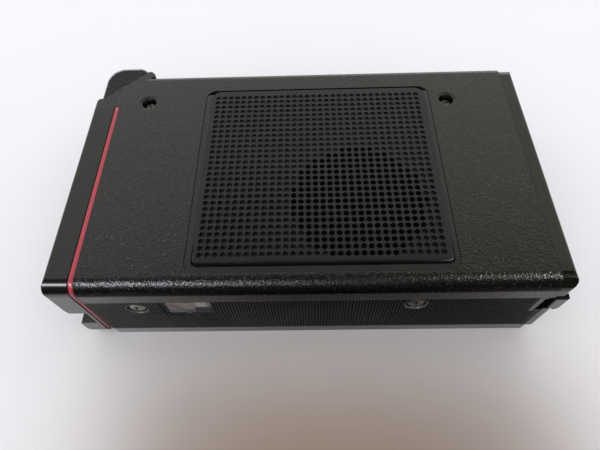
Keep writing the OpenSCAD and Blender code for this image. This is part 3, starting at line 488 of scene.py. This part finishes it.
# ------------------------------------------------------------------ speaker grille
def speaker_grille():
    pitch, cols, rows = 2.355, 32, 29
    gx, gy, h = -32.0, 31.8, 1.1775
    zt, zb, zf = 37.5, 35.4, 36.93
    field, field_r = (16.98, -15.06), 21.71
    bm = bmesh.new()
    shared = {}

    def v(x, y, z):
        k = (round(x, 2), round(y, 2), round(z, 2))
        if k not in shared:
            shared[k] = bm.verts.new((x * S, y * S, z * S))
        return shared[k]

    t = math.tan(math.radians(22.5))
    square = [(1, 0), (1, t), (1, 1), (t, 1), (0, 1), (-t, 1), (-1, 1), (-1, t), (-1, 0), (-1, -t), (-1, -1), (-t, -1), (0, -1), (t, -1), (1, -1), (1, -t)]
    turn = [(math.cos(math.pi * i / 8), math.sin(math.pi * i / 8)) for i in range(16)]
    for i in range(cols):
        for j in range(rows):
            cx, cy = gx + i * pitch, gy - j * pitch
            through = math.hypot(cx - field[0], cy - field[1]) < field_r
            deep = zb if through else zt - 1.1
            loops = [[v(cx + h * a, cy + h * b, zt) for a, b in square]]
            for r, z in ((1.03, zt), (0.97, zt - 0.03), (0.93, zt - 0.12), (0.91, deep)):
                loops.append([bm.verts.new(((cx + r * a) * S, (cy + r * b) * S, z * S)) for a, b in turn])
            for a, b in zip(loops, loops[1:]):
                skin(bm, a, b)
            under = [v(cx + h * a, cy + h * b, zb) for a, b in square]
            if through:
                skin(bm, loops[-1], under)
            else:
                bm.faces.new(loops[-1])
                bm.faces.new(under)
    # the border between the field of holes and the edge of the raised panel
    x0, x1, y0, y1 = gx - h, gx + (cols - 1) * pitch + h, gy - (rows - 1) * pitch - h, gy + h
    steps = (-1, -t, 0, t)
    ring = [(gx + i * pitch + h * s, y0) for i in range(cols) for s in steps]
    ring += [(x1, gy - j * pitch + h * s) for j in range(rows - 1, -1, -1) for s in steps]
    ring += [(gx + i * pitch - h * s, y1) for i in range(cols - 1, -1, -1) for s in steps]
    ring += [(x0, gy - j * pitch - h * s) for j in range(rows) for s in steps]

    def border(outer, z):
        hole = [v(x, y, z) for x, y in ring]
        verts = outer + hole
        flat = [[Vector((w.co.x, w.co.y, 0)) for w in part] for part in (outer, hole)]
        for tri in tessellate_polygon(flat):
            bm.faces.new([verts[i] for i in tri])

    def loop(x0, y0, x1, y1, r, z, far=None):
        return [bm.verts.new((x * S, y * S, (z(x, y) if callable(z) else z) * S)) for x, y in rounded(x0, y0, x1, y1, r, far=far)]

    def panel(out, z, near=0.0):
        return loop(-34.3 - out, -37.25 - out - near, 43.9 + out, 35.25 + out, 1.7 + out, z, 3.4 + out)

    far = lambda y: max(0.0, min(1.0, (y - 33.2) / 1.4))
    groove = lambda x, y: 36.1 if y < -36.6 else 36.1 + 0.8 * max(0.0, min(1.0, (y + 36.6) / 3.0)) * (1 - far(y))
    brim = lambda x, y: zf - 0.75 * far(y) ** 2
    # the panel's edge: a shallow and a steeper bevel, then the wall
    loops = [panel(out, zt - drop) for out, drop in ((-0.60, 0.0), (-0.46, 0.012), (-0.12, 0.135), (0.0, 0.60))]
    border(loops[0], zt)
    loops.append(panel(0.0, groove))
    loops.append(panel(0.25, groove, 0.35))
    loops.append(panel(0.30, brim, 0.35))
    outer = (-36.52, -39.76, 45.67, 35.67, 3.85)
    loops.append(loop(*outer, lambda x, y: brim(x, y) - 0.02))
    loops.append(loop(-36.6, -39.82, 45.75, 35.75, 3.92, lambda x, y: brim(x, y) - 0.2))
    last = loop(-36.6, -39.82, 45.75, 35.75, 3.92, zb)
    loops.append(last)
    for k, (a, b) in enumerate(zip(loops, loops[1:])):
        skin(bm, a, b, mat=1 if k >= len(loops) - 4 else 2 if k == 1 else 0)
    border(last, zb)
    # the panel stands out at its near edge and sinks level with its brim towards the far one
    for w in bm.verts:
        if w.co.z > 0.03695:
            t = max(0.0, min(1.0, (w.co.y / S + 30.0) / 45.0))
            w.co.z = 0.03695 + (w.co.z - 0.03695) * (1 - 0.86 * t * t * (3 - 2 * t))
    for f in bm.faces:
        c = f.calc_center_median()
        if f.material_index == 2 and (c.y > -36.2e-3 or c.x > 43.0e-3):
            f.material_index = 0
    o = finish_mesh("speaker_grille_panel", bm, ["grille_plastic", "grille_rim", "grille_edge"], "case", 12.0)
    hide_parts("speaker_grille")


# ------------------------------------------------------------------ red stripe
def red_stripe():
    hw, t, r = 45.2, 37.0, 4.5
    path = [(28.6, t, 0.0, 1.0, 0.0), (28.3, t, 0.0, 1.0, 0.0)]
    path += [(28.3 - (28.3 + hw - r) * i / 24, t, 0.0, 1.0, 0.0) for i in range(1, 25)]
    for i in range(1, 17):
        a = math.radians(90.0 * i / 16)
        path.append((-(hw - r) - r * math.sin(a), t - r + r * math.cos(a), -math.sin(a), math.cos(a), 0.5 * (i / 16) ** 2))
    path += [(-hw, t - r - (t - r - 4.3) * i / 20, -1.0, 0.0, min(1.0, 0.5 + 0.1 * i)) for i in range(1, 21)]
    # across the stripe: X on the rear face, X on the near side, and how far under the skin
    cross = [(-70.50, -70.46, 0.75), (-70.50, -70.46, 0.30), (-70.42, -70.38, 0.16), (-70.28, -70.24, 0.07), (-70.10, -70.08, 0.03),
             (-69.62, -69.74, 0.01), (-69.15, -69.38, 0.03), (-68.97, -69.22, 0.07), (-68.83, -69.10, 0.16), (-68.75, -69.02, 0.30),
             (-68.75, -69.02, 0.75)]
    bm = bmesh.new()
    rows = []
    for k, (y, z, ny, nz, w) in enumerate(path):
        extra = (0.12 if k in (0, len(path) - 1) else 0.0) + 0.14 * w
        row = []
        for x0, x1, d in cross:
            d = min(0.75, d + extra)
            row.append(bm.verts.new(((x0 + (x1 - x0) * w) * S, (y - ny * d) * S, (z - nz * d) * S)))
        rows.append(row)
    n = len(cross)
    for a, b in zip(rows, rows[1:]):
        for c in range(n):
            f = bm.faces.new((a[c], a[(c + 1) % n], b[(c + 1) % n], b[c]))
            on_side = 0.5 * (a[0].co.z + b[0].co.z) < 0.0335
            # painted shade: the chamfered edges take the dark red_shade for the groove's shadow, and the faces on the
            # near side a darker copy of the red
            f.material_index = 2 if on_side and 1 <= c <= 6 else 1 if not 3 <= c <= 6 else 0
    for f in (bm.faces.new(rows[0]), bm.faces.new(rows[-1])):
        f.material_index = 1
    o = finish_mesh("red_stripe_trim", bm, ["red_trim", "red_shade", "red_side_shaded"], "case", 50.0)
    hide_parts("red_stripe")


# ------------------------------------------------------------------ microphone
MIC_U = Vector((math.cos(math.radians(44)), math.sin(math.radians(44))))
MIC_N = Vector((-MIC_U.y, MIC_U.x))
MIC_O = Vector((-65.5, 38.3))


def mic_outline(i):
    """The mesh cover in plan, i inside its skin: up the left wall, round the corner, along the far wall and down its end."""
    r, e = 6.9 - i, max(0.05, 2.0 - i)
    pts = [Vector((-77.4 + i, 33.45 + (44.1 - 33.45) * k / 10)) for k in range(10)]
    for k in range(13):
        a = math.radians(180 - 90 * k / 12)
        pts.append(Vector((-70.5 + r * math.cos(a), 44.1 + r * math.sin(a))))
    n = (51.0 - i - MIC_O.y - (10.2 - i) * MIC_U.y) / MIC_N.y
    c = MIC_O + MIC_U * (10.2 - i) + MIC_N * n - Vector((e * math.tan(math.radians(23)), 0))
    pts += [Vector((-70.5 + (c.x + 70.5) * k / 7, 51.0 - i)) for k in range(1, 7)]
    for k in range(7):
        a = math.radians(90 - 46 * k / 6)
        pts.append(Vector((c.x + e * math.cos(a), c.y - e + e * math.sin(a))))
    end = MIC_O + MIC_U * (10.2 - i) + MIC_N * 3.95
    return pts + [pts[-1].lerp(end, k / 5) for k in range(1, 6)]


def microphone():
    pitch, skin_in, rnd = 1.12, 0.2, 2.0
    dy = pitch * math.sqrt(3) / 2

    def honeycomb(x0, x1, y0, y1, inside):
        """Corner lists of the hexagons whose middle passes inside()."""
        out, j = [], 0
        y = y0
        while y <= y1:
            x = x0 + (pitch / 2 if j % 2 else 0)
            while x <= x1:
                if inside(x, y):
                    out.append([(x + pitch / math.sqrt(3) * math.sin(math.radians(60 * k)), y + pitch / math.sqrt(3) * math.cos(math.radians(60 * k))) for k in range(6)])
                x += pitch
            y += dy
            j += 1
        return out

    flat = mic_outline(skin_in + rnd)

    def nearest(p):
        best = None
        for a, b in zip(flat, flat[1:]):
            d = b - a
            t = max(0.0, min(1.0, (p - a).dot(d) / max(1e-9, d.length_squared)))
            q = a + d * t
            if best is None or (p - q).length < best[0]:
                best = ((p - q).length, q)
        return best

    def within(p):
        hit = False
        for a, b in zip(flat, flat[1:] + flat[:1]):
            if (a.y > p.y) != (b.y > p.y) and p.x < a.x + (b.x - a.x) * (p.y - a.y) / (b.y - a.y):
                hit = not hit
        return hit

    top_z = 36.6 - skin_in

    def over_top(x, y):
        """A point of a flat sheet laid on the top and bent down over its round edge."""
        p = Vector((x, y))
        low = (p - MIC_O).dot(MIC_N)
        if low < 3.95:
            p += MIC_N * (3.95 - low)
        if within(p):
            return Vector((p.x, p.y, top_z)) * S
        t, q = nearest(p)
        if t < 1e-6:
            return Vector((p.x, p.y, top_z)) * S
        a = min(t / rnd, math.pi / 2)
        w = q + (p - q) / t * rnd * math.sin(a)
        return Vector((w.x, w.y, top_z - rnd + rnd * math.cos(a))) * S

    def on_top(x, y):
        p = Vector((x, y))
        if (p - MIC_O).dot(MIC_N) < 4.2 or y < 33.75:
            return False
        return within(p) or nearest(p)[0] < rnd * math.pi / 2 - 0.2

    loops = {}

    def down_wall(s, w):
        """A point s along the outline and w below the round edge, which turns in again at the bottom."""
        a = max(0.0, min(math.pi / 2, (w - 15.4) / rnd))
        i = round(skin_in + rnd * (1 - math.cos(a)), 4)
        if i not in loops:
            loops[i] = mic_outline(i)
        base, at, left = loops[skin_in], loops[i], s
        for k in range(len(base) - 1):
            d = (base[k + 1] - base[k]).length
            if left <= d or k == len(base) - 2:
                p = at[k].lerp(at[k + 1], max(0.0, min(1.0, left / d)))
                break
            left -= d
        z = top_z - rnd - w if w < 15.4 else top_z - rnd - 15.4 - rnd * math.sin(a)
        return Vector((p.x, p.y, z)) * S

    loops[skin_in] = mic_outline(skin_in)
    length = sum((b - a).length for a, b in zip(loops[skin_in], loops[skin_in][1:]))
    bm = bmesh.new()
    for cell in honeycomb(-79, -57, 32, 54, on_top):
        bm.faces.new([bm.verts.new(over_top(x, y)) for x, y in cell])
    for cell in honeycomb(pitch * 0.45, length - pitch * 0.45, 0.35, 18.0, lambda x, y: True):
        bm.faces.new([bm.verts.new(down_wall(min(length, max(0.0, x)), max(0.0, y))) for x, y in cell])
    bmesh.ops.remove_doubles(bm, verts=bm.verts, dist=0.05 * S)
    bmesh.ops.recalc_face_normals(bm, faces=bm.faces)
    bmesh.ops.wireframe(bm, faces=bm.faces[:], thickness=0.16 * S, use_replace=True, use_boundary=True, use_even_offset=False, use_relative_offset=False)
    o = finish_mesh("mic_screen", bm, ["mesh_metal"], "case", 60.0)
    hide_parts("mic_mesh")
    # black foam behind the screen
    bm = bmesh.new()
    rings = []
    for a in [90 - 15 * k for k in range(7)]:
        rings.append((0.42 + rnd * (1 - math.cos(math.radians(a))), 36.6 - 0.42 - rnd * (1 - math.sin(math.radians(a)))))
    rings += [(i, 53.6 - z) for i, z in rings[::-1]]
    made = [[bm.verts.new((p.x * S, p.y * S, z * S)) for p in mic_outline(i)] for i, z in rings]
    for a, b in zip(made, made[1:]):
        skin(bm, a, b)
    bm.faces.new(made[0])
    bm.faces.new(made[-1])
    o = finish_mesh("mic_foam", bm, ["foam_black"], "case", 50.0)
    # the bezel's lower end, filled out square to the corner of the trim
    bm = bmesh.new()
    shape = [(-11.25, 35.3), (-9.9, 35.3), (-9.9, 36.40), (-10.3, 36.46), (-11.05, 36.46), (-11.25, 36.34)]
    at = MIC_O + MIC_N * 0.3
    prism(bm, [((at + MIC_U * u).x, (at + MIC_U * u).y, z) for u, z in shape], (MIC_N.x * 3.3, MIC_N.y * 3.3, 0))
    finish_mesh("mic_bezel_end", bm, ["bezel_plastic"], "case", 30.0)


# ------------------------------------------------------------------ level meter face
def meter_face():
    bm = bmesh.new()
    y0, y1 = -43.6, -44.02

    def plate(x0, x1, z0, z1, lift, mat, base=y1):
        prism(bm, [(x0, base, z0), (x1, base, z0), (x1, base, z1), (x0, base, z1)], (0, -lift, 0), mat)

    # the face has a hole for the needle's staff, so it is made of four strips round it
    px, pz, g = -38.2, 17.3, 0.62
    for x0, x1, z0, z1 in ((-45.95, px - g, 16.15, 27.15), (px + g, -30.45, 16.15, 27.15), (px - g, px + g, 16.15, pz - g), (px - g, px + g, pz + g, 27.15)):
        prism(bm, [(x0, y0, z0), (x1, y0, z0), (x1, y0, z1), (x0, y0, z1)], (0, y1 - y0, 0), 1)
    # printed zones: a tan scale with fine upright lines over the lilac ground and a pale block; the black strips down
    # the left end and along its top are painted shade where the recess's walls lie in shadow
    plate(-43.7, -35.7, 19.4, 27.1, 0.02, 2)
    plate(-35.3, -31.8, 21.3, 24.9, 0.03, 3)
    plate(-36.2, -30.5, 16.6, 20.5, 0.03, 0)
    plate(-45.9, -44.75, 16.2, 27.1, 0.03, 5)
    plate(-44.75, -43.3, 25.7, 27.1, 0.03, 5)
    for i in range(14):
        x = -43.55 + i * 0.57
        plate(x, x + 0.2, 20.0 if i % 4 else 19.5, 27.0, 0.035, 4)
    plate(-43.75, -30.5, 16.2, 16.5, 0.03, 4)
    o = finish_mesh("meter_face", bm, ["print_dark", "print_lilac", "print_tan", "print_cream", "print_brown", "painted_recess_shade"], "case", 30.0)
    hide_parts("meter_scale")


# ------------------------------------------------------------------ small parts on the hidden sides
def key_marks():
    """A plain moulded sign on each key: a dot, arrows, a square and bars."""
    y, z = 48.16, 10.0
    names = ("record", "play", "forward", "rewind", "stop", "pause")
    for k, name in enumerate(names):
        x = -42.3 + 15.4 * k
        bm = bmesh.new()

        def shape(pts):
            prism(bm, [(x + a, y, z + b) for a, b in pts], (0, 0.1, 0))

        def arrow(a, s):
            shape([(a - 0.9 * s, -1.25), (a + 1.1 * s, 0.0), (a - 0.9 * s, 1.25)])

        if name == "record":
            shape([(1.3 * math.cos(i * math.pi / 14), 1.3 * math.sin(i * math.pi / 14)) for i in range(28)])
        elif name == "play":
            arrow(0, -1)
        elif name == "forward":
            arrow(-1.15, -1), arrow(1.15, -1)
        elif name == "rewind":
            arrow(-1.15, 1), arrow(1.15, 1)
        elif name == "stop":
            shape([(-1.15, -1.15), (1.15, -1.15), (1.15, 1.15), (-1.15, 1.15)])
        else:
            for a in (-0.75, 0.75):
                shape([(a - 0.38, -1.2), (a + 0.38, -1.2), (a + 0.38, 1.2), (a - 0.38, 1.2)])
        o = finish_mesh(name + "_mark", bm, ["mark_white"], name + "_button", 30.0)


def jack_rings():
    bm = bmesh.new()
    for y in (-21.6, -29.8):
        lathe(bm, [(1.82, -0.02), (2.95, -0.02), (2.95, 0.16), (2.75, 0.34), (2.2, 0.40), (1.95, 0.34), (1.82, 0.2)],
              lambda a, b, c, y=y: (-72.1 - c, y + a, 14.8 + b), 48)
    o = finish_mesh("jack_rings", bm, ["chassis_steel"], "case", 40.0)
    bm = bmesh.new()
    lathe(bm, [(2.72, -0.02), (3.1, -0.02), (3.1, 0.1), (3.0, 0.18), (2.82, 0.18), (2.72, 0.1)], lambda a, b, c: (78.0 + c, 38.4 + a, 12 + b), 48)
    lathe(bm, [(0.02, -0.02), (0.98, -0.02), (0.98, 0.5), (0.8, 0.72), (0.4, 0.82), (0.02, 0.84)], lambda a, b, c: (77.1 + c, 38.4 + a, 12 + b), 32)
    o = finish_mesh("power_socket_trim", bm, ["chassis_steel"], "case", 40.0)


def screw_details():
    """A smooth rim round each side screw, and the bottom of the cross in its head painted black as painted shade."""
    rims, crosses = bmesh.new(), bmesh.new()
    for x, z in ((-53.9, 22.2), (34.0, 23.3)):
        lathe(rims, [(3.28, 0.02), (3.78, 0.02), (3.78, 0.86), (3.66, 0.97), (3.48, 0.95), (3.34, 0.80), (3.28, 0.55)],
              lambda a, b, c, x=x, z=z: (x + a, -44.2 - c, z + b), 56)
        # painted shade: a black sheet at the bottom of each head's cross recess
        w, e = 0.33, 1.48
        arms = [(-e, -w), (-w, -w), (-w, -e), (w, -e), (w, -w), (e, -w), (e, w), (w, w), (w, e), (-w, e), (-w, w), (-e, w)]
        prism(crosses, [(x + p, -44.5, z + q) for p, q in arms], (0, -0.06, 0))
    finish_mesh("side_screw_rims", rims, ["rim_plastic"], "case", 40.0)
    finish_mesh("side_screw_recess_shade", crosses, ["painted_recess_shade"], "case", 30.0)


def dial_marks():
    """A white line across the grip of each dial, on the side that shows at rest."""
    for name, y in (("volume", -8.0), ("level", 14.0)):
        bm = bmesh.new()
        for d in (-0.22,):
            prism(bm, [(-75.44, y + d, 13.15), (-75.44, y - d, 13.15), (-75.44, y - d, 15.95), (-75.44, y + d, 15.95)], (-0.07, 0, 0))
        prism(bm, [(-75.4, y - 0.22, 16.09), (-72.2, y - 0.22, 16.09), (-72.2, y + 0.22, 16.09), (-75.4, y + 0.22, 16.09)], (0, 0, 0.05))
        o = finish_mesh(name + "_dial_mark", bm, ["mark_white"], name, 30.0)


speaker_grille()
red_stripe()
microphone()
meter_face()
key_marks()
jack_rings()
screw_details()
dial_marks()

# ------------------------------------------------------------------ floor and light
bm = bmesh.new()
bmesh.ops.create_grid(bm, x_segments=8, y_segments=8, size=4.0)
me = bpy.data.meshes.new("floor")
bm.to_mesh(me)
bm.free()
floor = bpy.data.objects.new("floor", me)
floor.location.z = -0.00005
scene.collection.objects.link(floor)
k = Mat("floor", (0.86, 0.85, 0.875), 0.75, spec=0.25)
k.set("Base Color", k.mix(k.noise(26.0, 4.0), (0.845, 0.835, 0.862), (0.875, 0.865, 0.892)))
k.set("Normal", k.bump(k.noise(700.0, 4.0, 0.6), 0.15, 0.25))
me.materials.append(k.m)

world = bpy.data.worlds.new("world")
scene.world = world
world.use_nodes = True
world.node_tree.nodes["Background"].inputs[0].default_value = (0.90, 0.90, 0.905, 1)
world.node_tree.nodes["Background"].inputs[1].default_value = 1.18


def area(name, at, to, size, power, color=(1, 1, 1)):
    d = bpy.data.lights.new(name, "AREA")
    d.shape = "RECTANGLE"
    d.size, d.size_y = size
    d.energy = power
    d.color = color
    o = bpy.data.objects.new(name, d)
    scene.collection.objects.link(o)
    o.location = at
    o.rotation_mode = "QUATERNION"
    o.rotation_quaternion = (Vector(to) - Vector(at)).to_track_quat("-Z", "Y")
    return o


strips = [area("overhead_left", (-0.325, -0.40, 0.56), (-0.08, -0.043, 0.036), (0.60, 0.098), 5.2, (0.87, 0.90, 1.0)),
          area("overhead_right", (0.88, -0.25, 1.06), (0.08, -0.043, 0.036), (0.50, 0.07), 7.2, (0.97, 0.98, 1.0)),
          area("overhead_middle", (0.46, -0.25, 1.06), (0.08, -0.043, 0.036), (0.34, 0.07), 0.40, (1.0, 0.99, 0.97))]
area("far_window", (0.0, 1.9, 0.70), (0, 0, 0), (2.4, 0.5), 7.0, (0.98, 0.98, 1.0))

glow = area("warm_glow", (0.002, -0.086, 0.029), (0.002, -0.084, 0.0), (0.075, 0.05), 0.0012, (1.0, 0.52, 0.05))

# the strips only draw highlights on the recorder; the floor gets its light from the room
lit = bpy.data.collections.new("lit_by_strips")
for o in scene.objects:
    if o.type == "MESH" and o is not floor:
        lit.objects.link(o)
for o in strips:
    o.light_linking.receiver_collection = lit
ground = bpy.data.collections.new("lit_by_glow")
ground.objects.link(floor)
glow.light_linking.receiver_collection = ground


def dark_plane(name, matrix, **seen):
    """A dark card off camera, for the near edges to mirror and to keep light off the near side."""
    bm = bmesh.new()
    bmesh.ops.create_grid(bm, x_segments=2, y_segments=2, size=0.5)
    me = bpy.data.meshes.new(name)
    bm.to_mesh(me)
    bm.free()
    o = bpy.data.objects.new(name, me)
    o.matrix_world = matrix
    scene.collection.objects.link(o)
    me.materials.append(seen.pop("paint", dark).m)
    o.visible_camera = False
    for k, v in seen.items():
        setattr(o, k, v)


dark = Mat("dark_screen", (0.012, 0.012, 0.012), 0.9, spec=0.1)
mirror_only = {"visible_diffuse": False, "visible_shadow": False}
dark_plane("dark_screen", Matrix.Translation((0, -0.45, 0.45)) @ Matrix.Rotation(math.radians(90), 4, "X") @ Matrix.Diagonal((3.0, 0.9, 1.0, 1.0)), **mirror_only)
dark_plane("dark_ceiling", Matrix.Translation((0, -0.40, 1.25)) @ Matrix.Diagonal((4.0, 1.30, 1.0, 1.0)), **mirror_only)
dark_plane("dark_corner", Matrix.Translation((0.80, 0.34, 1.25)) @ Matrix.Diagonal((2.4, 0.32, 1.0, 1.0)), **mirror_only)
dark_plane("dark_card", Matrix.Translation((0, -0.36, 0.0005)) @ Matrix.Diagonal((3.0, 0.46, 1.0, 1.0)), **mirror_only)
fade = Mat("dark_fade", (0.012, 0.012, 0.012), 0.9, spec=0.1)
fade.set("Alpha", fade.math("MULTIPLY", fade.math("MULTIPLY", fade.span(fade.axis(0), -0.5, -0.06, 0.0, 1.0, True), fade.span(fade.axis(0), 0.14, 0.5, 1.0, 0.0, True)),
                            fade.span(fade.axis(1), 0.30, 0.5, 1.0, 0.0, True)))
dark_plane("dark_near", Matrix.Translation((0.006, -0.103, 0.0005)) @ Matrix.Diagonal((0.17, 0.112, 1.0, 1.0)), paint=fade, **mirror_only)
warm = Mat("warm_shade", (0.36, 0.17, 0.045), 0.9, spec=0.1)
dark_plane("shade", Matrix.Translation((0.012, -0.103, 0.030)) @ Matrix.Diagonal((0.150, 0.078, 1.0, 1.0)), paint=warm, visible_glossy=False)

scene.view_settings.view_transform = "Standard"
